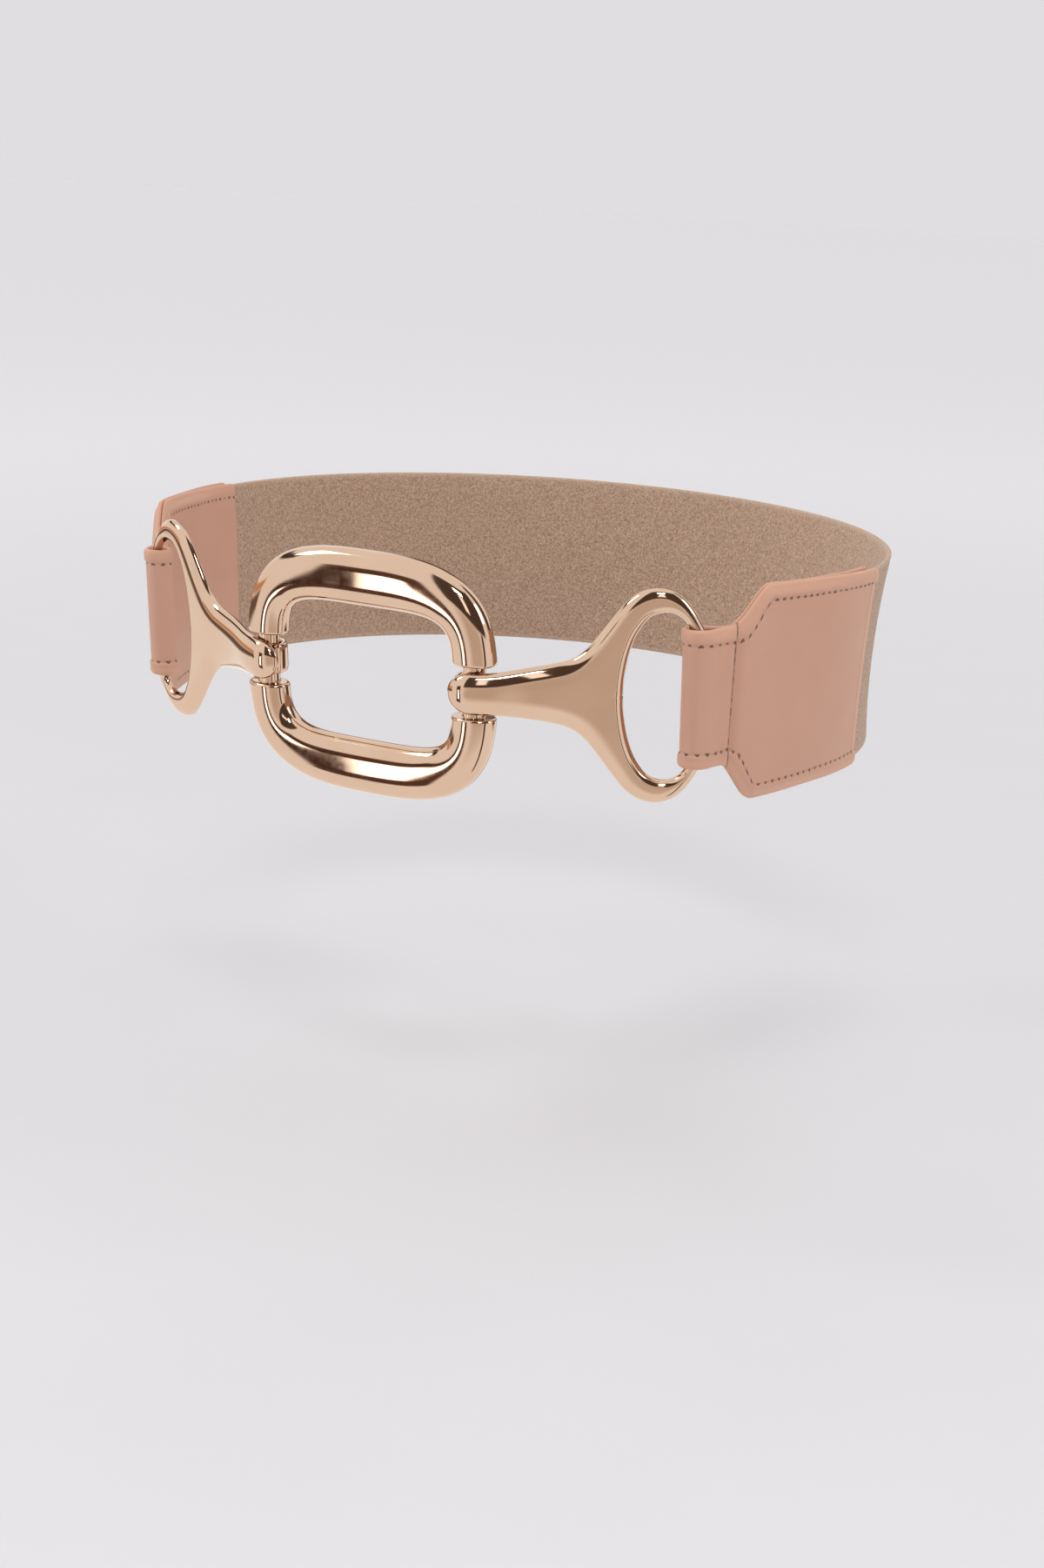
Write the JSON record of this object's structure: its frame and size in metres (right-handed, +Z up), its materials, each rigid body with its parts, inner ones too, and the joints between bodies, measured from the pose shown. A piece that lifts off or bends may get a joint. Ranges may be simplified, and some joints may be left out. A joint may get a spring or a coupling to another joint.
{
  "type": "elastic waist belt with a snaffle ring buckle",
  "caption": "Wide elastic waist belt, closed as worn, with leather end tabs folded on two forked arms that hold a rounded ring buckle.",
  "frame": {"origin": "centre of the waist opening, halfway up the belt", "axes": "+Z up along the wearer's body, -Y forwards through the middle of the ring, +X to the ring's right seen from the front"},
  "size_m": [0.2322, 0.2045, 0.0714],
  "materials": {
    "polished_metal": "polished light rose gold plating on cast metal",
    "tab_leather": "smooth matt leather with turned edges and tonal stitching",
    "woven_elastic": "dense fine-ribbed woven elastic"
  },
  "bodies": {
    "root": {"buckle_ring": "polished_metal", "buckle_arm_left": "polished_metal", "buckle_arm_right": "polished_metal", "leather_tab_left": "tab_leather", "leather_tab_right": "tab_leather", "elastic_band": "woven_elastic"}
  },
  "joints": []
}
